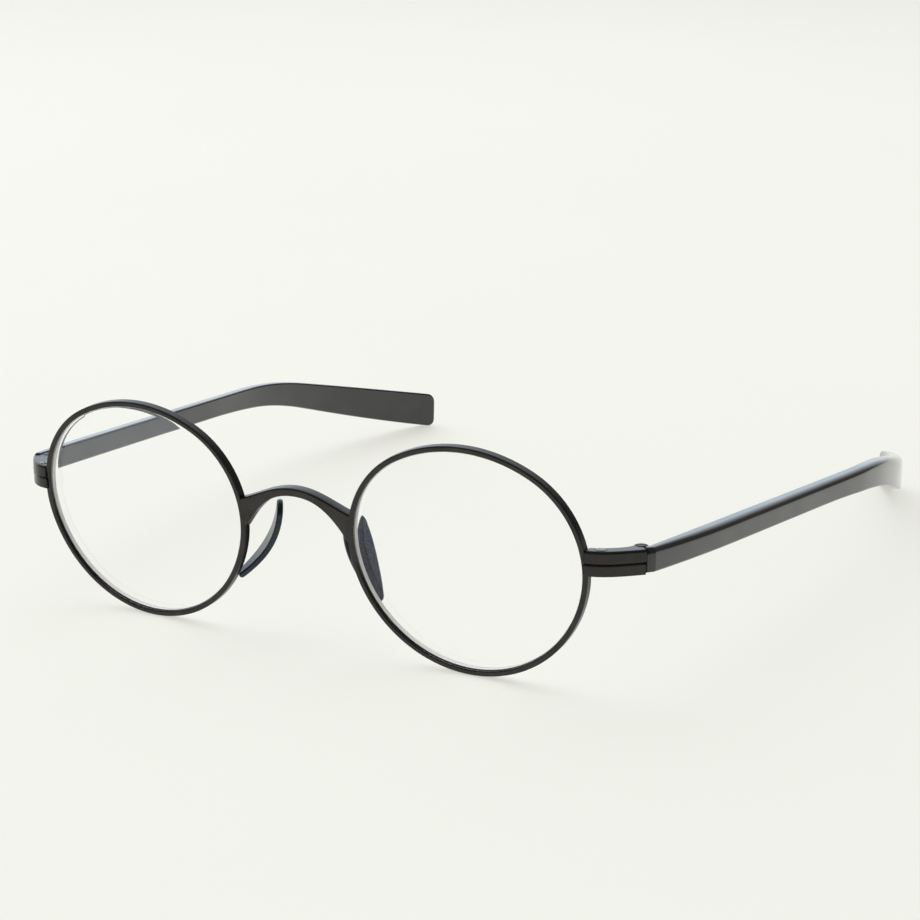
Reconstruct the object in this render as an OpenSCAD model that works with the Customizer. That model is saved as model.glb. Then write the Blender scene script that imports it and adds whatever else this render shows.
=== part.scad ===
// Round wire eyeglasses: two grooved wire rims, a saddle bridge, leaf nose pads,
// split endpieces with closing screws, and acetate temples on barrel hinges.
// Millimetres. The glasses stand open on their rims and temple tips, on z = 0,
// with the origin under the middle of their box. The wearer looks along -Y,
// so the wearer's left side is +X. Every part is drawn for that side and mirrored.

/* [Rims] */
// Distance between the centres of the two rims
rim_spacing = 67; // [66:0.5:69]
// Width of a rim between the middles of its wire
rim_w = 44.5; // [44:0.1:45]
// Angle up to which each side arc runs above the rim's widest line
top_a = 62; // [58:1:66]
// Angle down to which each side arc runs below the widest line
bottom_a = 13.5; // [12:0.5:16]
// Radius of the two side arcs of a rim
side_r = 17.8; // [17.6:0.1:18]
// Thickness of the wire seen from the front
wire_t = 1.0; // [0.9:0.05:1.1]
// Depth of the wire from front to back
wire_d = 1.75; // [1.6:0.05:1.9]
// Depth of the groove that holds the lens
groove = 0.38; // [0.3:0.02:0.42]
// Turn of each rim round the face
wrap = 1.35; // [0:0.05:2]

/* [Lenses] */
// Thickness of a lens
lens_t = 1.9; // [1.6:0.1:2.2]
// Radius of the lens's front surface
lens_r = 190; // [150:10:400]

/* [Bridge] */
// Depth of the bridge strip from front to back
bridge_d = 2.0; // [1.6:0.1:2.2]
// Height of the arch's top above the rims' widest line
bridge_rise = 7.7; // [7:0.05:8.2]
// Thickness of the strip at the top of the arch
bridge_t = 1.5; // [1.2:0.1:1.8]

/* [Nose pads] */
// Width of a pad
pad_w = 5.6; // [5:0.1:6]
// Height of a pad
pad_l = 13.0; // [12:0.1:14]
// Thickness of a pad
pad_t = 1.1; // [0.9:0.1:1.3]

/* [Endpieces] */
// Height of the endpiece block
block_h = 4.3; // [4.1:0.1:4.5]
// Step of the lower half behind the upper half's front
block_step = 0.14; // [0:0.02:0.2]

/* [Hinges] */
// Radius of the hinge barrel
barrel_r = 1.25; // [1.2:0.05:1.3]
// Radius of the hinge and closing screws' shanks
screw_r = 0.6; // [0.55:0.01:0.62]
// Radial clearance of a turning knuckle on its screw
run_gap = 0.05; // [0.02:0.01:0.08]
// Height of the middle knuckle
knuckle_h = 1.3; // [1.2:0.05:1.4]

/* [Temples] */
// Thickness of the temple
temple_t = 2.9; // [2.6:0.1:3]
// Height of the temple behind the hinge
temple_h = 3.9; // [3.6:0.1:4.1]
// Height of the temple's tip
tip_h = 7.5; // [6.8:0.1:7.8]
// Length of the temple along its outer face
temple_l = 139.0; // [130:0.5:142]
// Outward splay of the temple's straight stretch
splay = 4.65; // [3:0.05:5]

/* [Stance] */
// Lean of the front, its top forward
front_lean = 4.4; // [3:0.1:6]
// Slope of the temples down to their tips
arm_slope = 4.0; // [3:0.1:5]

/* [Hidden] */
$fn = 72;

// The rim's outline is four arcs that meet smoothly. The side arcs are centred on the
// widest line, side_off to each side. The top and bottom arcs are centred on the upright.
side_off = rim_w / 2 - side_r;
top_c = -side_off * tan(top_a);
bottom_c = side_off * tan(bottom_a);
// These two radii are rounded down a hair, so that the arcs cross cleanly
top_r = floor(1000 * (side_r + side_off / cos(top_a))) / 1000;
bottom_r = floor(1000 * (side_r + side_off / cos(bottom_a))) / 1000;
rim_fall = bottom_r - bottom_c;
// Each arc: its centre's x and z, its start angle, its sweep and its radius. The side arcs
// are drawn as whole circles, because the rest of each lies inside the outline.
rim_arcs = [
    [side_off, 0, 0, 360, side_r],
    [-side_off, 0, 0, 360, side_r],
    [0, top_c, top_a, 180 - 2 * top_a, top_r],
    [0, bottom_c, 180 + bottom_a, 180 - 2 * bottom_a, bottom_r]
];
// Size of the wire's edge rounds, and half of the flat between them
wire_edge = 0.2;
wire_flat = wire_d / 2 - wire_edge;

// The endpieces and temples lie in one plane that slopes back from the rims
arm_tilt = front_lean + arm_slope;
arm_z = 2.05;
hinge = [62.1, 8.0];
half_knuckle = knuckle_h / 2;
washer_room = 0.15;

// Plan of the temple's outer face: a straight stretch, then an arc towards the head
temple_start = [66.4, 8.5];
straight_l = 73;
curve_r = 110;
curve_start = temple_start + straight_l * [sin(splay), cos(splay)];
curve_c = curve_start + curve_r * [-cos(splay), sin(splay)];
butt_dir = 50;

// Side view of the temple: level, then a bend down over the ear
temple_top = 2.3;
bend_y = 88;
bend_l = 18;
tip_y = plan_pt(temple_l, 0)[1] + 0.5;
rest_y = tip_y - 1.35;
lift = (rim_fall + wire_t / 2) * cos(front_lean) + wire_flat * sin(front_lean);
rest_z = (rest_y * sin(arm_slope) - lift - arm_z * cos(front_lean)) / cos(arm_slope);
bend_fall = (temple_top - tip_h - rest_z) / (rest_y - bend_y - bend_l / 2);
// This shift centres the box from front to back
shift_y = -70.31;

rim_colour = "#3b3a3a";
acetate_colour = "#1c1d20";
lens_colour = [0.85, 0.9, 0.95, 0.35];
steel_colour = "#8a8a88";

function bez(a, b, c, d, t) =
    (1 - t) ^ 3 * a + 3 * (1 - t) ^ 2 * t * b + 3 * (1 - t) * t ^ 2 * c + t ^ 3 * d;
function bez_way(a, b, c, d, t) =
    3 * (1 - t) ^ 2 * (b - a) + 6 * (1 - t) * t * (c - b) + 3 * t ^ 2 * (d - c);
function smooth(t) = let (u = min(1, max(0, t))) u * u * (3 - 2 * u);

// Point on the temple's plan, s along its outer face and o outward from that face
function turn(s) = splay - max(0, s - straight_l) / curve_r * 180 / PI;
function plan_pt(s, o) = s <= straight_l
    ? temple_start + s * [sin(splay), cos(splay)] + o * [cos(splay), -sin(splay)]
    : curve_c + (curve_r + o) * [cos(turn(s)), -sin(turn(s))];

// Heights of the temple's top edge and its depth at y
function fall(y) = let (u = y - bend_y)
    u <= 0 ? 0 : u < bend_l ? bend_fall * u * u / (2 * bend_l) : bend_fall * (u - bend_l / 2);
function top_at(y) = temple_top - fall(y);
function deep_at(y) = temple_h + (tip_h - temple_h) * smooth((y - 70) / 75);
function mid_at(y) = top_at(y) - deep_at(y) / 2;

// Stands what is drawn in the rims' plane on the table
module front_place() {
    translate([0, shift_y, lift]) rotate([front_lean, 0, 0]) children();
}

// Turns what is drawn in the temples' plane into the rims' frame
module arm_in_front() {
    translate([0, 0, arm_z]) rotate([-arm_tilt, 0, 0]) children();
}

// Draws in one rim's own frame, at its centre
module rim_place() {
    translate([rim_spacing / 2, 0, 0]) rotate([0, 0, wrap]) children();
}

// Extrudes a profile along one arc of the rim. The profile's y points to the front.
module along(arc) {
    translate([arc[0], 0, arc[1]]) rotate([90, 0, 0])
        rotate_extrude(angle = arc[3], start = arc[2], $fn = 180) children();
}

// Fills the side of the rim out to its wire's outer face, where other pieces are soldered
module rim_side_fill(way) {
    rim_place() translate([way * side_off, 0, 0]) rotate([90, 0, 0])
        cylinder(r = side_r + wire_t / 2, h = 12, center = true, $fn = 180);
}

// The wire's outer side with its small edge rounds, filled in to the arc's centre
module wire_outside(r) {
    out = r + wire_t / 2;
    front = wire_d / 2;
    polygon([
        [0, -front], [out - wire_edge, -front], [out, -wire_flat],
        [out, wire_flat], [out - wire_edge, front], [0, front]
    ]);
}

// The room inside the wire, with the lens groove
module wire_inside(r) {
    in = r - wire_t / 2;
    front = wire_d / 2;
    past = front + 1;
    lip = 0.45;
    polygon([
        [0, -past], [in + wire_edge, -past], [in + wire_edge, -front], [in, -wire_flat],
        [in, -lip], [in + groove, 0], [in, lip],
        [in, wire_flat], [in + wire_edge, front], [in + wire_edge, past], [0, past]
    ]);
}

module rim() {
    front_place() difference() {
        rim_place() difference() {
            for (arc = rim_arcs) along(arc) wire_outside(arc[4]);
            for (arc = rim_arcs) along(arc) wire_inside(arc[4]);
        }
        arm_in_front() translate([53, -5, -0.05]) cube([6, 10, 0.1]);
    }
}

module lens_profile(r) {
    bevel = r - wire_t / 2 + groove - 0.02;
    edge = r - wire_t / 2 - 0.04;
    polygon([[0, -3], [edge, -3], [edge, -0.4], [bevel, 0], [edge, 0.4], [edge, 3], [0, 3]]);
}

module lens() {
    edge_front = 0.55;
    bulge = edge_front + side_r ^ 2 / (2 * lens_r);
    front_place() rim_place() intersection() {
        for (arc = rim_arcs) along(arc) lens_profile(arc[4]);
        translate([0, lens_r - bulge, 0]) difference() {
            sphere(r = lens_r, $fn = 200);
            sphere(r = lens_r - lens_t, $fn = 200);
        }
    }
}

module bridge_outline() {
    top = [[0, bridge_rise], [4.8, bridge_rise], [8.1, 5.2], [12.2, 4.15]];
    low = [[0, bridge_rise - bridge_t], [4.5, bridge_rise - bridge_t], [7.6, 4.2], [11.6, -2.2]];
    over = [for (t = [0 : 0.0625 : 1]) bez(top[0], top[1], top[2], top[3], t)];
    under = [for (t = [0 : 0.0625 : 1]) bez(low[0], low[1], low[2], low[3], t)];
    last = len(over) - 1;
    polygon(concat(
        over, [for (i = [last : -1 : 0]) under[i]],
        [for (i = [1 : last]) [-under[i][0], under[i][1]]],
        [for (i = [last : -1 : 1]) [-over[i][0], over[i][1]]]
    ));
}

module bridge() {
    bridge_front = -1.35;
    color(rim_colour) front_place() difference() {
        translate([0, bridge_front + bridge_d, 0]) rotate([90, 0, 0])
            linear_extrude(bridge_d) bridge_outline();
        rim_side_fill(-1);
        mirror([1, 0, 0]) rim_side_fill(-1);
    }
}

// A pad is a bent strip, cut to the outline of a leaf
module nose_pad() {
    way = [[1.1, -0.8], [-3.1, 2.2], [-6.8, 6.4], [-7.2, pad_l]];
    side = [for (t = [0 : 0.05 : 1]) [
        bez(way[0], way[1], way[2], way[3], t), bez_way(way[0], way[1], way[2], way[3], t)
    ]];
    strip = [for (k = [-1, 1]) [for (p = side) p[0] + k * pad_t / 2 * [p[1][1], -p[1][0]] / norm(p[1])]];
    half = pad_w / 2;
    shoulder = pad_l - 0.91 * half;
    leaf = concat(
        [for (t = [0 : 0.1 : 1])
            bez([0.55 * half, -1.6], [1.07 * half, 1.5], [1.28 * half, 6.5], [0.93 * half, shoulder], t)],
        [for (a = [15 : 15 : 165]) [0.01 * half + 0.92 * half * cos(a), shoulder + 0.91 * half * sin(a)]],
        [for (t = [1 : -0.1 : 0])
            bez([-0.36 * half, -1.6], [-0.6 * half, 2.5], [-1.2 * half, 5.5], [-0.91 * half, shoulder], t)]
    );
    front_place() translate([13.75, 1.75, -10.9]) rotate([0, 0, -35]) intersection() {
        rotate([90, 0, 0]) linear_extrude(8, center = true)
            polygon(concat(strip[0], [for (i = [len(side) - 1 : -1 : 0]) strip[1][i]]));
        rotate([90, 0, 90]) linear_extrude(30, center = true) polygon(leaf);
    }
}

// Plan of the endpiece block: an S-shaped front that bends back to the hinge
module block_outline(step) {
    corner = [64.12, 5.85];
    inward = [-sin(butt_dir), cos(butt_dir)];
    front = [for (t = [0 : 0.1 : 1]) bez([55.6, -0.35], [59.5, -0.1], [60.6, 1.3], corner, t)];
    back = [hinge + [-1.0, -0.55], [61.1, 6.6], [60.3, 5.55], [59.1, 3.9], [57.3, 3.0], [55.6, 1.6]];
    polygon(concat([for (p = front) p + step * inward], [corner + 1.9 * inward, hinge], back));
}

// The hinge's own frame in the temples' plane: its axis stands upright on the table,
// so the temple tips slide over the table as they fold
module hinge_place() {
    translate([hinge[0], hinge[1], 0]) rotate([arm_slope, 0, 0]) children();
}

module barrel_at(z0, z1, r) {
    hinge_place() translate([0, 0, z0]) cylinder(r = r, h = z1 - z0);
}

closing_at = [57.8, 1.55];

// One half of the block. way is 1 for the upper half and -1 for the lower.
module endpiece(way) {
    half = block_h / 2;
    knuckle_z = half_knuckle + washer_room;
    span = way > 0 ? [0, half] : [-half, 0];
    ends = way > 0 ? [knuckle_z, half] : [-half, -knuckle_z];
    shank = way > 0 ? screw_r + run_gap : screw_r;
    front_place() difference() {
        arm_in_front() difference() {
            union() {
                translate([0, 0, span[0]]) linear_extrude(half) block_outline(way > 0 ? 0 : block_step);
                barrel_at(ends[0], ends[1], barrel_r);
            }
            barrel_at(-knuckle_z, knuckle_z, barrel_r + 0.12);
            barrel_at(-half - 1, half + 1, shank);
            barrel_at(half - 0.35, half + 1, 0.95);
            translate([closing_at[0], closing_at[1], -half - 1]) cylinder(r = shank, h = block_h + 2);
            translate([closing_at[0], closing_at[1], half - 0.5]) cylinder(r = 1, h = 1);
        }
        rim_side_fill(1);
    }
}

// A small slotted screw standing on its axis: its head's top is at z = 0
module screw(head_r, head_h, dome, length) {
    slot = 0.25;
    difference() {
        union() {
            translate([0, 0, -head_h]) cylinder(r = head_r, h = head_h);
            translate([0, 0, -length]) cylinder(r = screw_r, h = length);
            if (dome > 0) cylinder(r1 = head_r, r2 = head_r - dome, h = dome);
        }
        translate([0, 0, dome]) rotate([0, 0, 35]) cube([3 * head_r, slot, 0.6], center = true);
    }
}

module closing_screw() {
    half = block_h / 2;
    front_place() arm_in_front() translate([closing_at[0], closing_at[1], half])
        screw(1.0, 0.5, 0.1, block_h);
}

module hinge_screw() {
    half = block_h / 2;
    front_place() arm_in_front() hinge_place() translate([0, 0, half])
        screw(0.95, 0.35, 0.15, block_h);
}

module hinge_leaf_shape() {
    plate_t = 0.9;
    plate_h = 2.3;
    plate_l = 12;
    difference() {
        union() {
            barrel_at(-half_knuckle, half_knuckle, barrel_r);
            hinge_place() translate([0, 0, -half_knuckle]) linear_extrude(knuckle_h) polygon([
                [0.3, -0.35], plan_pt(-0.7, plate_t - temple_t) - hinge,
                plan_pt(1.2, plate_t - temple_t) - hinge, plan_pt(1.2, -temple_t) - hinge, [0.3, 1.1]
            ]);
            translate([0, 0, -plate_h / 2]) linear_extrude(plate_h) polygon([
                plan_pt(0.3, -temple_t), plan_pt(plate_l, -temple_t),
                plan_pt(plate_l, plate_t - temple_t), plan_pt(0.3, plate_t - temple_t)
            ]);
        }
        barrel_at(-2, 2, screw_r + run_gap);
    }
}

module hinge_leaf() {
    front_place() arm_in_front() hinge_leaf_shape();
}

module hinge_washers() {
    play = 0.02;
    front_place() arm_in_front() for (z = [half_knuckle + play, -half_knuckle - washer_room + play])
        difference() {
            barrel_at(z, z + washer_room - 2 * play, barrel_r - 0.05);
            barrel_at(z - 1, z + 1, screw_r + run_gap);
        }
}

module temple_plan() {
    gap = 0.06;
    end_r = 1.2;
    butt = [64.12, 5.85] + gap * [cos(butt_dir), sin(butt_dir)];
    mitre = [for (t = [0 : 0.2 : 0.8]) let (u = 1 - t)
        u * u * butt + 2 * u * t * [66.35, 8.75] + t * t * plan_pt(3, 0)];
    outer = [for (s = [3, straight_l, for (i = [1 : 16]) straight_l + i * 4]) if (s < temple_l - end_r) s];
    round_outer = [for (a = [0 : 18 : 90]) plan_pt(temple_l - end_r + end_r * sin(a), end_r * (cos(a) - 1))];
    round_inner = [for (a = [90 : -18 : 0])
        plan_pt(temple_l - end_r + end_r * sin(a), -temple_t + end_r * (1 - cos(a)))];
    inner = [for (i = [len(outer) - 1 : -1 : 1]) plan_pt(outer[i], -temple_t)];
    polygon(concat(
        mitre, [for (s = outer) plan_pt(s, 0)], round_outer, round_inner, inner,
        [plan_pt(-0.9, -temple_t), butt + 1.25 * [-sin(butt_dir), cos(butt_dir)]]
    ));
}

// Side view of the temple. Its end is square to the drop, with rounded corners.
module temple_side() {
    end_r = 1.8;
    run = [for (y = [0, 40, for (i = [1 : 24]) 40 + i * 4]) y];
    tip = [for (a = [0 : 15 : 90]) [tip_y - end_r + end_r * sin(a), end_r * (1 - cos(a))]];
    polygon(concat(
        [for (y = run) [y, top_at(y)]],
        [for (p = tip) [p[0], top_at(p[0]) - p[1]]],
        [for (i = [len(tip) - 1 : -1 : 0]) [tip[i][0], top_at(tip[i][0]) - tip_h + tip[i][1]]],
        [for (i = [len(run) - 1 : -1 : 0]) [run[i], top_at(run[i]) - deep_at(run[i])]]
    ));
}

// A flat wire along the middle of the temple
module temple_core_shape() {
    wire_h = 1.6;
    wire_w = 1.0;
    inner_o = 0.9 - temple_t;
    stops = [9, straight_l, for (i = [1 : 14]) straight_l + i * 4];
    intersection() {
        translate([0, 0, -20]) linear_extrude(30) polygon(concat(
            [for (s = stops) plan_pt(s, inner_o + wire_w)],
            [for (i = [len(stops) - 1 : -1 : 0]) plan_pt(stops[i], inner_o)]
        ));
        rotate([90, 0, 90]) linear_extrude(100) polygon(concat(
            [for (y = [0 : 4 : 148]) [y, mid_at(y) + wire_h / 2]],
            [for (y = [148 : -4 : 0]) [y, mid_at(y) - wire_h / 2]]
        ));
    }
}

module temple() {
    front_place() arm_in_front() difference() {
        intersection() {
            translate([0, 0, -20]) linear_extrude(30) temple_plan();
            rotate([90, 0, 90]) linear_extrude(100) temple_side();
        }
        barrel_at(-5, 5, barrel_r + 0.12);
        hinge_leaf_shape();
        temple_core_shape();
    }
}

module temple_core() {
    front_place() arm_in_front() temple_core_shape();
}

module rim_left() { color(rim_colour) rim(); }
module rim_right() { color(rim_colour) mirror([1, 0, 0]) rim(); }
module lens_left() { color(lens_colour) lens(); }
module lens_right() { color(lens_colour) mirror([1, 0, 0]) lens(); }
module nose_pad_left() { color(rim_colour) nose_pad(); }
module nose_pad_right() { color(rim_colour) mirror([1, 0, 0]) nose_pad(); }
module endpiece_upper_left() { color(rim_colour) endpiece(1); }
module endpiece_upper_right() { color(rim_colour) mirror([1, 0, 0]) endpiece(1); }
module endpiece_lower_left() { color(rim_colour) endpiece(-1); }
module endpiece_lower_right() { color(rim_colour) mirror([1, 0, 0]) endpiece(-1); }
module closing_screw_left() { color(steel_colour) closing_screw(); }
module closing_screw_right() { color(steel_colour) mirror([1, 0, 0]) closing_screw(); }
module hinge_screw_left() { color(steel_colour) hinge_screw(); }
module hinge_screw_right() { color(steel_colour) mirror([1, 0, 0]) hinge_screw(); }
module hinge_leaf_left() { color(rim_colour) hinge_leaf(); }
module hinge_leaf_right() { color(rim_colour) mirror([1, 0, 0]) hinge_leaf(); }
module hinge_washers_left() { color(steel_colour) hinge_washers(); }
module hinge_washers_right() { color(steel_colour) mirror([1, 0, 0]) hinge_washers(); }
module temple_left() { color(acetate_colour) temple(); }
module temple_right() { color(acetate_colour) mirror([1, 0, 0]) temple(); }
module temple_core_left() { color(steel_colour) temple_core(); }
module temple_core_right() { color(steel_colour) mirror([1, 0, 0]) temple_core(); }

rim_left();
rim_right();
lens_left();
lens_right();
bridge();
nose_pad_left();
nose_pad_right();
endpiece_upper_left();
endpiece_upper_right();
endpiece_lower_left();
endpiece_lower_right();
closing_screw_left();
closing_screw_right();
hinge_screw_left();
hinge_screw_right();
hinge_leaf_left();
hinge_leaf_right();
hinge_washers_left();
hinge_washers_right();
temple_left();
temple_right();
temple_core_left();
temple_core_right();
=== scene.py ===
from math import cos, pi, radians, sin, sqrt, tan
import bpy
import bmesh
from mathutils import Matrix, Quaternion, Vector
from mathutils.geometry import interpolate_bezier


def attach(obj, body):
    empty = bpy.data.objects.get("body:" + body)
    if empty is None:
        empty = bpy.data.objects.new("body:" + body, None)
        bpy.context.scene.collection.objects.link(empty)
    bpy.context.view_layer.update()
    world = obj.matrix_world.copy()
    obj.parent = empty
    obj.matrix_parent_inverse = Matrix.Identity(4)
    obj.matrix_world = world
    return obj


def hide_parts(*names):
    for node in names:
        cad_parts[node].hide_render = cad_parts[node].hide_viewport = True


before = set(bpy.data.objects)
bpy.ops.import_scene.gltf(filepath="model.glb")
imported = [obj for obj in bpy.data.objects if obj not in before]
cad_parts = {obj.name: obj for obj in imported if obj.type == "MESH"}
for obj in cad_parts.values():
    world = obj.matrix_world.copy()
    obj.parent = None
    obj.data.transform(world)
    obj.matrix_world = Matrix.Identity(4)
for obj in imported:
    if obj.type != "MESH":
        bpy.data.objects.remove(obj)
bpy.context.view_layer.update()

# Sizes are in millimetres and degrees. The wearer looks along -Y, so the wearer's left
# is +X. Each side piece is drawn for the left and mirrored for the right. In a list of
# four or three points, the first is where a curve starts and the others pull or end it.
stance = {
    "rimSpacing": 67.0,     # between the centres of the rims
    "frontLean": 4.4,       # top of the front forward
    "armSlope": 4.0,        # temples down to their tips
    "armHeight": 2.05,      # of the temples' plane above the rims' widest line
    "wrap": 1.35,           # of each rim round the face
    "shiftBack": -70.31,
}
sides = {"left": 1, "right": -1}
armBody = {"left": "temple_arm_left", "right": "temple_arm_right"}
rimWire = {
    "width": 44.5,          # between the middles of the wire
    "sideRadius": 17.8,
    "topAngle": 62.0,       # where the side arcs meet the top and bottom ones
    "bottomAngle": 13.5,
    "thick": 1.0,
    "deep": 1.75,
    "edgeRound": 0.27,
    "groove": 0.38,
    "grooveLip": 0.45,
    "step": 2.0,            # degrees from one ring to the next
}


def turned(angle, axis):
    return Matrix.Rotation(radians(angle), 4, axis)


def moved(x, y, z):
    return Matrix.Translation((x, y, z))


sideOff = rimWire["width"] / 2 - rimWire["sideRadius"]
bottomRadius = rimWire["sideRadius"] + sideOff / cos(radians(rimWire["bottomAngle"]))
bottomCentre = sideOff * tan(radians(rimWire["bottomAngle"]))
topCentre = -sideOff * tan(radians(rimWire["topAngle"]))
rimFall = bottomRadius - bottomCentre + rimWire["thick"] / 2
leanAngle = radians(stance["frontLean"])
lift = rimFall * cos(leanAngle) + (rimWire["deep"] / 2 - 0.2) * sin(leanAngle)
frontPlace = moved(0, stance["shiftBack"], lift) @ turned(stance["frontLean"], "X")
rimPlace = frontPlace @ moved(stance["rimSpacing"] / 2, 0, 0) @ turned(stance["wrap"], "Z")
armPlace = (frontPlace @ moved(0, 0, stance["armHeight"])
            @ turned(-stance["frontLean"] - stance["armSlope"], "X"))


# Mesh helpers

def outline(bm, points):
    return bm.faces.new([bm.verts.new(p) for p in points])


def pull(bm, face, by):     # extrudes a face into a solid
    grown = bmesh.ops.extrude_face_region(bm, geom=[face])["geom"]
    tops = [g for g in grown if isinstance(g, bmesh.types.BMVert)]
    bmesh.ops.translate(bm, verts=tops, vec=by)


def rounded(bm, edges, radius, segments, clamp=True):
    bmesh.ops.bevel(bm, geom=edges, offset=radius, offset_type="OFFSET", affect="EDGES",
                    segments=segments, profile=0.5, material=-1, clamp_overlap=clamp)


def cleaned(bm):            # merges what a bevel or a Boolean left doubled
    bmesh.ops.remove_doubles(bm, verts=bm.verts, dist=0.003)
    bmesh.ops.dissolve_degenerate(bm, edges=bm.edges, dist=0.003)


def sharpEdges(bm, angle):
    return [e for e in bm.edges
            if len(e.link_faces) == 2 and e.calc_face_angle(0) > radians(angle)]


def sliced(bm, along, way):  # cuts right through the mesh, square to the way
    bmesh.ops.bisect_plane(bm, geom=bm.verts[:] + bm.edges[:] + bm.faces[:], dist=0.002,
                           plane_co=along * Vector(way), plane_no=way)


def drum(radius, low, high, place, segments, chamfer=0):
    bm = bmesh.new()
    bmesh.ops.create_cone(bm, cap_ends=True, segments=segments, radius1=radius,
                          radius2=radius, depth=high - low,
                          matrix=moved(0, 0, (low + high) / 2))
    if chamfer:
        rounded(bm, sharpEdges(bm, 60), chamfer, 2)
    bmesh.ops.transform(bm, matrix=place, verts=bm.verts)
    return bm


def asObject(bm, name):
    bmesh.ops.recalc_face_normals(bm, faces=bm.faces)
    mesh = bpy.data.meshes.new(name)
    bm.to_mesh(mesh)
    bm.free()
    made = bpy.data.objects.new(name, mesh)
    bpy.context.scene.collection.objects.link(made)
    return made


def carved(bm, tools):      # tools are pairs of a Boolean operation and its mesh
    body = asObject(bm, "carving")
    used = [body]
    for operation, tool in tools:
        used.append(asObject(tool, "tool"))
        step = body.modifiers.new("carve", "BOOLEAN")
        step.operation = operation
        step.solver = "EXACT"
        step.object = used[-1]
    result = bmesh.new()
    result.from_object(body, bpy.context.evaluated_depsgraph_get())
    for o in used:
        bpy.data.meshes.remove(o.data)
    cleaned(result)
    return result


def copied(node):           # a merged copy of a CAD solid, in millimetres
    bm = bmesh.new()
    bm.from_mesh(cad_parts[node].data)
    bmesh.ops.remove_doubles(bm, verts=bm.verts, dist=1e-6)
    bmesh.ops.dissolve_limit(bm, angle_limit=radians(1), verts=bm.verts, edges=bm.edges)
    bmesh.ops.scale(bm, vec=(1000, 1000, 1000), verts=bm.verts)
    return bm


def finished(bm, name, body, recipes, nodes, place=Matrix.Identity(4), mirror=1):
    metres = Matrix.Scale(0.001, 4) @ place
    if mirror < 0:
        metres = Matrix.Scale(-1, 4, (1, 0, 0)) @ metres
    bmesh.ops.transform(bm, matrix=metres, verts=bm.verts)
    loose = [e for e in bm.edges if not e.is_manifold]
    print("  ", name, len(bm.faces), "faces", f"{len(loose)} open edges" if loose else "")
    piece = asObject(bm, name)
    piece.data.shade_smooth()
    for recipe in recipes:
        piece.data.materials.append(recipe)
    even = piece.modifiers.new("evenNormals", "WEIGHTED_NORMAL")
    even.keep_sharp = True
    even.weight = 60
    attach(piece, body)
    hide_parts(*nodes)


# Materials

class Level:                # a socket that takes part in sums
    def __init__(self, recipe, socket):
        self.recipe, self.socket = recipe, socket

    def sum(self, operation, first, second):
        return self.recipe.node("Math", {"operation": operation}, {0: first, 1: second})

    def __add__(self, other):
        return self.sum("ADD", self, other)

    def __sub__(self, other):
        return self.sum("SUBTRACT", self, other)

    def __rsub__(self, other):
        return self.sum("SUBTRACT", other, self)

    def __mul__(self, other):
        return self.sum("MULTIPLY", self, other)

    __radd__ = __add__
    __rmul__ = __mul__


class Recipe:               # the nodes of one material, or of the sky
    def __init__(self, name, kept="materials"):
        self.owner = getattr(bpy.data, kept).new(name)
        self.owner.use_nodes = True
        self.tree = self.owner.node_tree
        self.tree.nodes.clear()

    def node(self, kind, settings, inputs, output=0):
        made = self.tree.nodes.new("ShaderNode" + kind)
        for key, value in settings.items():
            setattr(made, key, value)
        for key, value in inputs.items():
            if isinstance(value, Level):
                self.tree.links.new(value.socket, made.inputs[key])
            else:
                made.inputs[key].default_value = value
        return Level(self, made.outputs[output]) if made.outputs else made

    def place(self, stretch=(1, 1, 1)):
        spot = self.node("TexCoord", {}, {}, "Object")
        return self.node("Mapping", {}, {"Vector": spot, "Scale": stretch})

    def noise(self, place, perMillimetre, detail):
        return self.node("TexNoise", {}, {"Vector": place, "Scale": perMillimetre * 1000,
                                          "Detail": detail, "Roughness": 0.55})

    def mixed(self, share, first, second):
        return self.node("Mix", {"data_type": "RGBA"}, {0: share, 6: first, 7: second}, 2)

    def between(self, value, low, high, lowTo, highTo):
        return self.node("MapRange", {}, {"Value": value, "From Min": low, "From Max": high,
                                          "To Min": lowTo, "To Max": highTo})

    def bump(self, height, depth, strength):
        return self.node("Bump", {}, {"Height": height, "Distance": depth / 1000,
                                      "Strength": strength})

    def done(self, surface, kind="OutputMaterial"):
        self.node(kind, {}, {"Surface": surface})
        return self.owner


metalFinish = {
    "dark": (0.038, 0.036, 0.034, 1),
    "light": (0.058, 0.054, 0.050, 1),
    "roughness": (0.24, 0.34),
    "metallic": 0.9,
    "grain": 5.0,           # grains per millimetre
    "grainDepth": 0.004,
}
acetateFinish = {
    "deep": (0.010, 0.011, 0.014, 1),
    "streak": (0.020, 0.021, 0.026, 1),
    "roughness": (0.10, 0.20),
    "bend": 1.5,
    "coat": (0.55, 0.75),
    "coatRoughness": 0.06,
    "scratchDepth": 0.002,
}
steelFinish = {
    "dark": (0.20, 0.19, 0.18, 1),
    "light": (0.42, 0.40, 0.37, 1),
    "roughness": (0.22, 0.40),
    "markDepth": 0.004,
}
glassFinish = {
    "bend": 1.5,
    "sheen": (0.72, 0.75, 1.0, 1),
    "clean": (1, 1, 1, 1),
    "smeared": (0.992, 0.996, 1, 1),
    "shadow": (0.985, 0.99, 0.99, 1),
    "ground": (0.80, 0.79, 0.77, 1),
    "groundPale": (0.9, 0.89, 0.87, 1),
    "groundRoughness": (0.45, 0.65),
    "gritDepth": 0.01,
}


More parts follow.
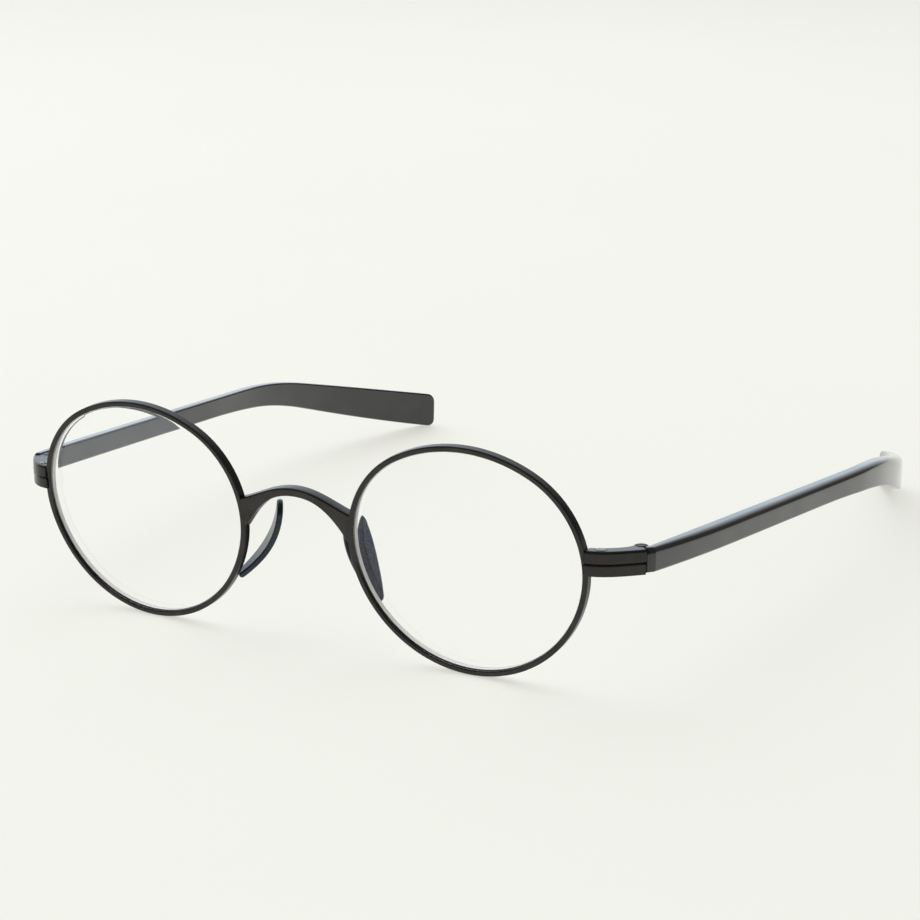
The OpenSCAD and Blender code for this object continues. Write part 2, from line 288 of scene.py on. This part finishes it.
def satinMetal(name, tone=(1, 1, 1)):
    r = Recipe(name)
    spot = r.place()
    cloud = r.noise(spot, 0.25, 2)
    grain = r.noise(spot, metalFinish["grain"], 2)
    fine = r.noise(spot, metalFinish["grain"] * 3.1, 1)
    mottle = cloud * 0.6 + grain * 0.4
    low, high = metalFinish["roughness"]
    shades = [tuple(c * t for c, t in zip(metalFinish[k], tone)) + (1,)
              for k in ("dark", "light")]
    colour = r.mixed(r.between(mottle, 0.35, 0.65, 0, 1), shades[0], shades[1])
    height = grain * 0.7 + fine * 0.3
    skin = r.node("BsdfPrincipled", {}, {
        "Base Color": colour,
        "Metallic": metalFinish["metallic"],
        "Roughness": r.between(mottle, 0.3, 0.7, low, high),
        "Normal": r.bump(height, metalFinish["grainDepth"], 0.35),
    })
    return r.done(skin)


def polishedAcetate(name):
    r = Recipe(name)
    along = r.place((1, 0.12, 1))       # streaks run along the temple
    flow = r.noise(along, 0.9, 4)
    scuff = r.noise(r.place((1, 0.05, 1)), 14, 2)
    wave = r.noise(r.place(), 0.12, 1)
    low, high = acetateFinish["roughness"]
    thin, full = acetateFinish["coat"]
    colour = r.mixed(r.between(flow, 0.45, 0.75, 0, 1),
                     acetateFinish["deep"], acetateFinish["streak"])
    skin = r.node("BsdfPrincipled", {}, {
        "Base Color": colour,
        "Roughness": r.between(scuff * 0.5 + flow * 0.5, 0.35, 0.7, low, high),
        "IOR": acetateFinish["bend"],
        "Coat Weight": r.between(wave, 0.3, 0.7, thin, full),
        "Coat Roughness": acetateFinish["coatRoughness"],
        "Coat IOR": acetateFinish["bend"],
        "Normal": r.bump(scuff * 0.3 + wave * 0.7, acetateFinish["scratchDepth"], 0.3),
    })
    return r.done(skin)


def turnedSteel(name):
    r = Recipe(name)
    cloud = r.noise(r.place(), 1.2, 2)
    marks = r.noise(r.place((1, 1, 0.1)), 9, 2)
    low, high = steelFinish["roughness"]
    skin = r.node("BsdfPrincipled", {}, {
        "Base Color": r.mixed(r.between(cloud, 0.35, 0.65, 0, 1),
                              steelFinish["dark"], steelFinish["light"]),
        "Metallic": 1.0,
        "Roughness": r.between(marks, 0.3, 0.7, low, high),
        "Normal": r.bump(marks, steelFinish["markDepth"], 0.4),
    })
    return r.done(skin)


def lensGlass(name):
    r = Recipe(name)
    smear = r.noise(r.place(), 0.08, 2)
    glass = r.node("BsdfPrincipled", {}, {
        "Base Color": r.mixed(smear, glassFinish["clean"], glassFinish["smeared"]),
        "Roughness": 0.0,
        "IOR": glassFinish["bend"],
        "Specular Tint": glassFinish["sheen"],
        "Transmission Weight": 1.0,
    })
    clear = r.node("BsdfTransparent", {}, {"Color": glassFinish["shadow"]})
    shadow = r.node("LightPath", {}, {}, "Is Shadow Ray")   # lets the light straight through
    soft = r.node("LightPath", {}, {}, "Is Diffuse Ray")
    share = r.node("Math", {"operation": "MAXIMUM"}, {0: shadow, 1: soft})
    return r.done(r.node("MixShader", {}, {0: share, 1: glass, 2: clear}))


def groundEdge(name):
    r = Recipe(name)
    grit = r.noise(r.place(), 7, 3)
    low, high = glassFinish["groundRoughness"]
    skin = r.node("BsdfPrincipled", {}, {
        "Base Color": r.mixed(grit, glassFinish["ground"], glassFinish["groundPale"]),
        "Roughness": r.between(grit, 0.3, 0.7, low, high),
        "Normal": r.bump(grit, glassFinish["gritDepth"], 0.5),
    })
    return r.done(skin)


rimMetal = satinMetal("satinRimMetal")
blockMetal = satinMetal("satinBlockMetal", (0.96, 0.96, 0.98))
padMetal = satinMetal("padFinish", (0.8, 1.1, 1.5))
acetate = polishedAcetate("blackAcetate")
steel = turnedSteel("turnedSteel")
blackScrew = satinMetal("blackScrewSteel", (1.7, 1.7, 1.7))
glass = lensGlass("coatedLens")
edgeGround = groundEdge("groundLensEdge")
print("Materials made")


# Rims and lenses

def sweepRim(bm, profile):  # spins a profile round the rim's four arcs
    top, bottom = rimWire["topAngle"], rimWire["bottomAngle"]
    arcs = [(sideOff, 0, top + bottom), (0, topCentre, 180 - 2 * top),
            (-sideOff, 0, top + bottom), (0, bottomCentre, 180 - 2 * bottom)]
    for x, z, sweep in arcs:
        spun = bmesh.ops.spin(bm, geom=profile, cent=(x, 0, z), axis=(0, -1, 0),
                              angle=radians(sweep), steps=round(sweep / rimWire["step"]),
                              use_merge=False, use_duplicate=False)
        profile = spun["geom_last"]
    bmesh.ops.remove_doubles(bm, verts=bm.verts, dist=0.002)


def profilePoint(out, back):
    start = radians(-rimWire["bottomAngle"])
    reach = rimWire["sideRadius"] + out
    return (sideOff + reach * cos(start), back, reach * sin(start))


def wireRim(side):
    bm = bmesh.new()
    half, deep, lip = rimWire["thick"] / 2, rimWire["deep"] / 2, rimWire["grooveLip"]
    shape = [(half, -deep), (half, deep), (-half, deep), (-half, lip),
             (rimWire["groove"] - half, 0), (-half, -lip), (-half, -deep)]
    section = outline(bm, [profilePoint(out, back) for out, back in shape])
    corners = [v for v in section.verts if abs(abs(v.co.y) - deep) < 0.01]
    bmesh.ops.bevel(bm, geom=corners, offset=rimWire["edgeRound"], affect="VERTICES",
                    segments=4, profile=0.5, material=-1)
    bmesh.ops.delete(bm, geom=bm.faces[:], context="FACES_ONLY")
    sweepRim(bm, bm.verts[:] + bm.edges[:])
    finished(bm, "wire_rim_" + side, "front", [rimMetal],
             ["rim_" + side], rimPlace, sides[side])


lensBlank = {
    "frontRadius": 190.0,
    "thick": 1.9,
    "frontInset": 0.55,     # of its front at the rim's short radius
    "edgeGap": 0.04,
    "bevelTip": 0.36,       # of the bevel that sits in the groove
    "bevelHalf": 0.38,
    "edgeDrop": (0.07, 0.1),    # of the front and back corners
    "edgeStep": (0.05, 0.12),   # from the front and back faces to the edge
    "rings": (0.97, 0.9, 0.8, 0.68, 0.54, 0.38, 0.2),
}


def lensFace(v, back):      # where the front or back surface lies at a vertex
    radius = lensBlank["frontRadius"]
    centre = radius - lensBlank["frontInset"] - rimWire["sideRadius"] ** 2 / (2 * radius)
    radius -= lensBlank["thick"] * back
    return centre - sqrt(radius * radius - v.co.x ** 2 - v.co.z ** 2)


def lensDisc(side):
    bm = bmesh.new()
    edge = -rimWire["thick"] / 2 - lensBlank["edgeGap"]
    tip = edge + lensBlank["bevelTip"]
    bevel, (frontDrop, backDrop) = lensBlank["bevelHalf"], lensBlank["edgeDrop"]
    frontStep, backStep = lensBlank["edgeStep"]
    shape = [(edge - frontDrop, -1), (edge, -bevel), (tip, 0), (edge, bevel), (edge, 1),
             (edge - backDrop, 2)]
    points = [bm.verts.new(profilePoint(out, back)) for out, back in shape]
    for a, b in zip(points, points[1:]):
        bm.edges.new((a, b))
    sweepRim(bm, bm.verts[:] + bm.edges[:])
    for v in bm.verts:      # the edge follows the domed faces
        front, back = lensFace(v, 0), lensFace(v, 1)
        v.co.y = {-1: front, 1: back - backStep, 2: back}.get(
            round(v.co.y, 3), max(v.co.y, front + frontStep))
    for f in bm.faces:
        f.material_index = 1
    for back in (0, 1):
        ring = [e for e in bm.edges if e.is_boundary
                and (e.verts[0].co.y > 0.9) == bool(back)]
        scale = 1.0
        for size in lensBlank["rings"]:
            grown = bmesh.ops.extrude_edge_only(bm, edges=ring)["geom"]
            ring = [g for g in grown if isinstance(g, bmesh.types.BMEdge)]
            spots = [g for g in grown if isinstance(g, bmesh.types.BMVert)]
            bmesh.ops.scale(bm, vec=(size / scale, 1, size / scale), verts=spots)
            for v in spots:
                v.co.y = lensFace(v, back)
            for f in {f for e in ring for f in e.link_faces}:
                f.material_index = 0
            scale = size
        cap = bmesh.ops.contextual_create(bm, geom=ring, mat_nr=0)["faces"]
        fan = bmesh.ops.poke(bm, faces=cap)["verts"]
        fan[0].co.y = lensFace(fan[0], back)
    finished(bm, "lens_disc_" + side, "front", [glass, edgeGround],
             ["lens_" + side], rimPlace, sides[side])


for side in sides:
    wireRim(side)
    lensDisc(side)
print("Rims and lenses made")


# Bridge

bridgeStrip = {
    "front": -1.35,
    "deep": 2.0,
    "rise": 7.7,
    "thick": 1.5,
    "over": ((8.1, 5.2), (12.2, 4.15)),     # where its upper curve goes, and ends
    "under": ((7.6, 4.2), (11.6, -2.2)),
    "level": (4.8, 4.5),    # how far the two curves leave the middle level
    "bite": 0.05,           # into the wire
    "topRound": 0.34,
    "lowRound": 0.3,
    "backRound": 0.2,
    "steps": 28,
}


def rimSide():              # what the rim's wire takes up beside the nose, as a tool
    place = (moved(stance["rimSpacing"] / 2, 0, 0) @ turned(stance["wrap"], "Z")
             @ moved(-sideOff, 0, 0) @ turned(90, "X"))
    radius = rimWire["sideRadius"] + rimWire["thick"] / 2 - bridgeStrip["bite"]
    return drum(radius, -6, 6, place, 240)


def saddleBridge():
    bm = bmesh.new()
    rise, n = bridgeStrip["rise"], bridgeStrip["steps"]
    low = rise - bridgeStrip["thick"]
    overLevel, underLevel = bridgeStrip["level"]
    over = interpolate_bezier((0, rise), (overLevel, rise), *bridgeStrip["over"], n)
    under = interpolate_bezier((0, low), (underLevel, low), *bridgeStrip["under"], n)
    half = over + under[::-1]
    other = [Vector((-p.x, p.y)) for p in under[1:] + over[:0:-1]]
    y = bridgeStrip["front"]
    face = outline(bm, [(p.x, y, p.y) for p in half + other])
    pull(bm, face, (0, bridgeStrip["deep"], 0))
    tops = {(round(abs(p.x), 4), round(p.y, 4)) for p in over}
    lows = {(round(abs(p.x), 4), round(p.y, 4)) for p in under}

    def alongCurve(curve, front):
        return [e for e in bm.edges if all(
            (round(abs(v.co.x), 4), round(v.co.z, 4)) in curve
            and (v.co.y < y + 0.01) == front for v in e.verts)]

    rounded(bm, alongCurve(tops, True), bridgeStrip["topRound"], 4)
    rounded(bm, alongCurve(lows, True), bridgeStrip["lowRound"], 4)
    rounded(bm, alongCurve(tops, False) + alongCurve(lows, False), bridgeStrip["backRound"], 3)
    left, right = rimSide(), rimSide()
    bmesh.ops.scale(right, vec=(-1, 1, 1), verts=right.verts)
    bm = carved(bm, [("DIFFERENCE", left), ("DIFFERENCE", right)])
    finished(bm, "saddle_bridge", "front", [rimMetal], ["bridge"], frontPlace)


saddleBridge()
print("Bridge made")


# Nose pads

padLeaf = {
    "foot": (13.75, 1.75, -10.9),   # where it leaves the rim
    "turn": -35.0,
    "path": ((1.1, -0.8), (-3.1, 2.2), (-6.8, 6.4), (-7.2, 13.0)),
    "wide": 5.6,
    "thick": 1.1,
    "round": 0.42,
    "backEdge": ((0.55, -0.8), (1.07, 1.5), (1.28, 6.5)),   # in halves of the width
    "frontEdge": ((-0.36, -0.8), (-0.6, 2.5), (-1.2, 5.5)),
    "shoulders": (0.93, -0.91),
    "topHalf": 0.92,        # of the rounded top
    "slices": 28,
    "pathSteps": 200,
}


def nosePad(side):
    bm = bmesh.new()
    half, top = padLeaf["wide"] / 2, padLeaf["path"][3][1]
    crown = padLeaf["topHalf"] * half
    thick, shoulder = padLeaf["thick"], top - crown
    back, front = ([(w * half, z) for w, z in padLeaf[k]] for k in ("backEdge", "frontEdge"))
    backEnd, frontEnd = ((w * half, shoulder) for w in padLeaf["shoulders"])
    edge = interpolate_bezier(*back, backEnd, 16)
    edge += [Vector((crown * cos(a), shoulder + crown * sin(a)))
             for a in (pi * i / 20 for i in range(1, 20))]
    edge += interpolate_bezier(*front, frontEnd, 16)[::-1]
    face = outline(bm, [(-thick / 2, p.x, p.y) for p in edge])
    pull(bm, face, (thick, 0, 0))
    rounded(bm, sharpEdges(bm, 60), padLeaf["round"], 4)
    low, n = padLeaf["path"][0][1], padLeaf["slices"]
    for i in range(1, n):
        sliced(bm, low + (top - low) * i / n, (0, 0, 1))
    steps = padLeaf["pathSteps"]
    path = interpolate_bezier(*padLeaf["path"], steps + 1)
    for v in bm.verts:      # bends the flat leaf along its path
        i = min(range(steps), key=lambda k: abs(path[k].y - v.co.z))
        way = (path[i + 1] - path[max(i - 1, 0)]).normalized()
        at = path[i] + way * (v.co.z - path[i].y) / max(way.y, 0.2)
        v.co = (at.x + way.y * v.co.x, v.co.y, at.y - way.x * v.co.x)
    place = frontPlace @ moved(*padLeaf["foot"]) @ turned(padLeaf["turn"], "Z")
    finished(bm, "nose_leaf_" + side, "front", [padMetal],
             ["nose_pad_" + side], place, sides[side])


for side in sides:
    nosePad(side)
print("Nose pads made")


# Endpiece blocks, with their barrels and screws

block = {
    "hinge": (62.1, 8.0),
    "corner": (64.12, 5.85),
    "buttTurn": 50.0,       # of the face that meets the temple
    "half": 2.15,
    "stepBack": 0.14,       # of the lower half's front
    "topRound": 0.5,
    "lowRound": 0.14,
    "backRound": 0.15,
    "front": ((55.75, -0.7), (59.0, -0.25), (60.6, 1.3)),   # from the rim to the corner
    "rear": ((61.0, 5.4), (58.8, 3.1), (55.7, 1.6)),        # from the barrel to the rim
    "rearStart": (-1.0, -0.55),     # from the hinge
    "butt": 1.9,
    "roundFrom": 56.5,      # clear of the rim
    "roundGap": 1.2,        # clear of the hinge
    "knuckleFrom": 0.8,
    "barrel": 1.25,
    "barrelEdge": 0.1,
    "room": 1.37,
    "bore": 0.63,
    "hingeHead": (1.0, 1.8),        # radius, and the height of its seat
    "closingHead": (1.07, 1.65),
    "screwSpot": (57.8, 1.55),
    "screwRound": 0.035,
    "plateRound": 0.06,
}
hingeSpot = Vector(block["hinge"])
hingePlace = moved(hingeSpot.x, hingeSpot.y, 0) @ turned(stance["armSlope"], "X")
blockCorner = Vector(block["corner"])
buttWay = radians(block["buttTurn"])
buttAcross = Vector((cos(buttWay), sin(buttWay)))
buttInward = Vector((-sin(buttWay), cos(buttWay)))


def blockHalf(side, way):   # way is 1 for the upper half and -1 for the lower
    bm = bmesh.new()
    back = 0 if way > 0 else block["stepBack"]
    front = [p + back * buttInward
             for p in interpolate_bezier(*block["front"], blockCorner, 24)]
    rear = interpolate_bezier(hingeSpot + Vector(block["rearStart"]), *block["rear"], 14)
    plan = front + [blockCorner + block["butt"] * buttInward, hingeSpot] + rear
    face = outline(bm, [(p.x, p.y, 0) for p in plan])
    pull(bm, face, (0, 0, way * block["half"]))
    keys = {(round(p.x, 3), round(p.y, 3)) for p in front}

    def at(v):
        return (round(v.co.x, 3), round(v.co.y, 3)) in keys

    lies = [e for e in bm.edges if at(e.verts[0]) and at(e.verts[1])
            and abs(e.verts[0].co.z - e.verts[1].co.z) < 0.01]
    middle = way * block["half"] / 2
    rounded(bm, [e for e in lies if e.verts[0].co.z > middle], block["topRound"], 5)
    rounded(bm, [e for e in lies if e.is_valid and e.verts[0].co.z < middle],
            block["lowRound"], 3)
    rest = [e for e in sharpEdges(bm, 40)
            if min(v.co.x for v in e.verts) > block["roundFrom"]
            and (Vector(e.verts[0].co[:2]) - hingeSpot).length > block["roundGap"]]
    rounded(bm, rest, block["backRound"], 2)
    start, bore, past = block["knuckleFrom"], block["bore"], 3
    low, high = sorted((way * start, way * block["half"]))
    spot = moved(*block["screwSpot"], 0)
    tools = [
        ("UNION", drum(block["barrel"], low, high, hingePlace, 48,
                       block["barrelEdge"])),
        ("DIFFERENCE", drum(block["room"], -start, start, hingePlace, 48)),
        ("DIFFERENCE", drum(bore, -past, past, hingePlace, 32)),
        ("DIFFERENCE", drum(bore, -past, past, spot, 32)),
    ]
    if way > 0:
        for key, place in (("hingeHead", hingePlace), ("closingHead", spot)):
            radius, seat = block[key]
            tools.append(("DIFFERENCE", drum(radius, seat, past, place, 48)))
    bm = carved(bm, tools)
    name = "upper" if way > 0 else "lower"
    finished(bm, f"block_{name}_{side}", "front", [blockMetal],
             [f"endpiece_{name}_{side}"], armPlace, sides[side])


def reworked(node, name, body, recipe, radius):
    bm = copied(node)
    rounded(bm, sharpEdges(bm, 35), radius, 2)
    cleaned(bm)
    finished(bm, name, body, [recipe], [node])


for side in sides:
    for way in (1, -1):
        blockHalf(side, way)
    reworked("closing_screw_" + side, "closing_slotted_screw_" + side, "front",
             steel, block["screwRound"])
    reworked("hinge_screw_" + side, "hinge_slotted_screw_" + side, "front",
             blackScrew, block["screwRound"])
    reworked("hinge_leaf_" + side, "hinge_plate_" + side, armBody[side],
             blockMetal, block["plateRound"])
    for node in ("hinge_washers_", "temple_core_"):
        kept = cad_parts[node + side].data.materials
        kept.clear()
        kept.append(steel)
print("Blocks, screws and hinges made")


# Temples

temple = {
    "start": (66.4, 8.5),   # of the outer face's straight stretch
    "splay": 4.65,
    "straight": 73.0,
    "curveRadius": 110.0,
    "long": 139.0,
    "thick": 2.9,
    "height": 3.9,
    "tipHeight": 7.5,
    "top": 2.3,
    "bendAt": 88.0,
    "bendLong": 18.0,
    "widens": (70.0, 75.0),     # where it starts, and over what length
    "restBack": 0.85,       # of the resting spot from the tip
    "nose": -2.98,
    "turnAt": -1.4,         # where the short mitre meets the long outer face
    "lean": 1.1,
    "leanLong": 25.0,
    "buttGap": 0.06,        # from the block
    "buttDeep": 1.25,
    "buttLong": 2.0,        # over which the inner face runs in to it
    "innerFrom": (3.0, -0.85),      # the inner face's front stretch
    "swell": (0.06, 0.2),   # above and below, which the rounded edges take back
    "topRound": 1.3,
    "lowRound": 0.45,
    "innerRound": 0.45,
    "tipRound": 1.8,
    "frontCuts": (-2.2, -1.55, -1.4, -1.25, -0.98, 0, 1, 2, 3, 5, 7, 9, 12, 16, 20, 25, 30),
    "evenCuts": (36, 2.5, 41),      # first, apart and how many
}
splay = radians(temple["splay"])


def planPoint(s, out):      # along the outer face, and outward from it
    ahead = Vector((sin(splay), cos(splay)))
    straight = temple["straight"]
    if s <= straight:
        return Vector(temple["start"]) + s * ahead + out * Vector((cos(splay), -sin(splay)))
    radius = temple["curveRadius"]
    angle = splay - (s - straight) / radius
    centre = (Vector(temple["start"]) + straight * ahead
              + radius * Vector((-cos(splay), sin(splay))))
    return centre + (radius + out) * Vector((cos(angle), -sin(angle)))


def dropShare():            # slope of the tip, which rests on the table
    rest = planPoint(temple["long"], 0).y - temple["restBack"]
    slope = radians(stance["armSlope"])
    floor = (rest * sin(slope) - lift - stance["armHeight"] * cos(leanAngle)) / cos(slope)
    fall = temple["top"] - temple["tipHeight"] - floor
    return fall / (rest - temple["bendAt"] - temple["bendLong"] / 2)


tipSlope = dropShare()


def topAt(y):
    u, long = y - temple["bendAt"], temple["bendLong"]
    if u <= 0:
        return temple["top"]
    return temple["top"] - (tipSlope * u * u / (2 * long) if u < long
                            else tipSlope * (u - long / 2))


def deepAt(y):
    start, long = temple["widens"]
    t = min(1, max(0, (y - start) / long))
    return temple["height"] + (temple["tipHeight"] - temple["height"]) * t * t * (3 - 2 * t)


def bentPoint(s, share):    # share is 0 on the outer face and 1 on the inner one
    thick, nose, turnAt = temple["thick"], temple["nose"], temple["turnAt"]
    mitre = temple["buttLong"]
    butt = blockCorner + temple["buttGap"] * buttAcross
    behind, ahead = temple["innerFrom"]

    def swung(at):          # the outer face leans in a little towards the block
        lean = max(0, 1 - at / temple["leanLong"])
        return planPoint(at, -temple["lean"] * lean * lean)

    if s >= turnAt:
        outer = swung(s)
    else:
        outer = butt.lerp(swung(turnAt), (s - nose) / (turnAt - nose))
    if s >= behind:
        inner = planPoint(s, -thick)
    elif s > nose + mitre:
        squeezed = (behind - s) / (behind - nose - mitre)
        inner = planPoint(behind - squeezed * (behind - ahead), -thick)
    else:
        inner = planPoint(ahead, -thick).lerp(butt + temple["buttDeep"] * buttInward,
                                              (nose + mitre - s) / mitre)
    return outer.lerp(inner, share)


def templeArm(side):        # a bar of even height, then widened and bent to the head
    bm = bmesh.new()
    nose, long, end, height = (temple[k] for k in ("nose", "long", "tipRound", "height"))
    first, apart, many = temple["evenCuts"]
    even = [first + apart * i for i in range(many)]
    stations = list(temple["frontCuts"]) + [s for s in even if s < long - end]
    low, high = -height / 2 - temple["swell"][1], height / 2 + temple["swell"][0]
    corners = [(nose, low), (nose, high)]
    for mid, start in ((high - end, 90), (low + end, 0)):
        for i in range(9):      # the tip's rounded corners
            a = radians(start - 90 * i / 8)
            corners.append((long - end + end * cos(a), mid + end * sin(a)))
    face = outline(bm, [(0, s, z) for s, z in corners])
    pull(bm, face, (-temple["thick"], 0, 0))

    def along(e):           # 1 on the outer face's upper edge, -1 on its lower, 0 inside
        middle = (e.verts[0].co + e.verts[1].co) / 2
        if middle.x < -1:
            return 0
        return 1 if middle.z > -0.01 else -1

    def rim(which):         # the long edges, without the butt
        return [e for e in bm.edges
                if not all(v.co.y < nose + 0.01 for v in e.verts)
                and abs(e.verts[0].co.x - e.verts[1].co.x) < 0.01
                and e.calc_face_angle(0) > 1 and along(e) == which]

    for which, key in ((1, "topRound"), (-1, "lowRound"), (0, "innerRound")):
        rounded(bm, rim(which), temple[key], 5, False)
    cleaned(bm)
    for s in stations:
        sliced(bm, s, (0, 1, 0))
    for v in bm.verts:
        spot = bentPoint(v.co.y, -v.co.x / temple["thick"])
        top = topAt(spot.y)
        shift = top - height / 2 if v.co.z > 0 else top - deepAt(spot.y) + height / 2
        v.co = (spot.x, spot.y, v.co.z + shift)
    finished(bm, "temple_blade_" + side, armBody[side], [acetate],
             ["temple_" + side], armPlace, sides[side])


for side in sides:
    templeArm(side)
print("Temples made")


# Table, light and camera

studio = {
    "floorHalf": 6.0,       # metres
    "floor": (0.910, 0.903, 0.830, 1),
    "floorMottle": (0.985, 1.015),
    "backdrop": (0.93, 0.95, 0.91, 1),
    "backdropGlow": 0.9,
    "ambient": 0.16,
    "roomShade": (1.0, 0.97, 0.92, 1),
    "glow": 1.3,
    "glowShade": (0.80, 0.91, 1.0, 1),
    "glowWay": (-0.55, 0.62, 0.30),
    "glowEdge": 0.45,
    "glowCore": 0.92,
    "keyPower": 92.0,
    "keySize": 3.0,
    "keyFrom": (-0.9, 0.15, 3.2),   # metres
}


def table():
    bm = bmesh.new()
    bmesh.ops.create_grid(bm, x_segments=8, y_segments=8, size=studio["floorHalf"])
    floor = asObject(bm, "table")
    r = Recipe("paleTable")
    haze = r.noise(r.place(), 0.004, 2)
    shades = [tuple(c * k for c in studio["floor"][:3]) + (1,) for k in studio["floorMottle"]]
    skin = r.node("BsdfPrincipled", {}, {
        "Base Color": r.mixed(haze, shades[0], shades[1]), "Roughness": 0.9,
        "Specular IOR Level": 0.1})
    floor.data.materials.append(r.done(skin))


def softbox():              # fills from overhead, without shadows or reflections
    light = bpy.data.lights.new("keyLight", "AREA")
    light.shape = "SQUARE"
    light.size, light.energy = studio["keySize"], studio["keyPower"]
    light.use_shadow = False
    lamp = bpy.data.objects.new("keyLight", light)
    bpy.context.scene.collection.objects.link(lamp)
    start, target = Vector(studio["keyFrom"]), Vector((0, 0, 0.02))
    lamp.location = start
    lamp.rotation_mode = "QUATERNION"
    lamp.rotation_quaternion = (target - start).to_track_quat("-Z", "Y")
    lamp.visible_camera = lamp.visible_glossy = False


def sky():                  # dim, with a broad soft glow behind and to the right of the wearer
    r = Recipe("studioSky", "worlds")
    way = r.node("TexCoord", {}, {}, "Generated")
    toGlow = r.node("VectorMath", {"operation": "DOT_PRODUCT"},
                    {0: way, 1: Vector(studio["glowWay"]).normalized()}, 1)
    share = r.node("MapRange", {"interpolation_type": "SMOOTHSTEP"}, {
        "Value": toGlow, "From Min": studio["glowEdge"], "From Max": studio["glowCore"]})
    strength = share * (studio["glow"] - studio["ambient"]) + studio["ambient"]
    light = r.node("Background", {}, {
        "Color": r.mixed(share, studio["roomShade"], studio["glowShade"]),
        "Strength": strength})
    pale = r.node("Background", {}, {"Color": studio["backdrop"],
                                     "Strength": studio["backdropGlow"]})
    seen = r.node("LightPath", {}, {}, "Is Camera Ray")
    bpy.context.scene.world = r.done(r.node("MixShader", {}, {0: seen, 1: light, 2: pale}),
                                     "OutputWorld")


viewpoint = {
    "azimuth": 29.81,
    "elevation": 15.665,
    "roll": -0.812,
    "distance": 380.0,
    "target": (33.24, -71.607, 38.645),
    "lens": 89.9,
    "sensor": 36,
}


def camera():
    data = bpy.data.cameras.new("camera")
    data.lens, data.sensor_width = viewpoint["lens"], viewpoint["sensor"]
    data.clip_start, data.clip_end = 0.01, 30
    cam = bpy.data.objects.new("camera", data)
    bpy.context.scene.collection.objects.link(cam)
    a, e = radians(viewpoint["azimuth"]), radians(viewpoint["elevation"])
    back = Vector((sin(a) * cos(e), -cos(a) * cos(e), sin(e)))
    cam.rotation_mode = "QUATERNION"
    cam.rotation_quaternion = ((-back).to_track_quat("-Z", "Y")
                               @ Quaternion((0, 0, 1), radians(viewpoint["roll"])))
    cam.location = (Vector(viewpoint["target"]) + back * viewpoint["distance"]) / 1000
    bpy.context.scene.camera = cam


table()
sky()
softbox()
camera()
bpy.context.scene.view_settings.view_transform = "Standard"
print("Table, light and camera set")
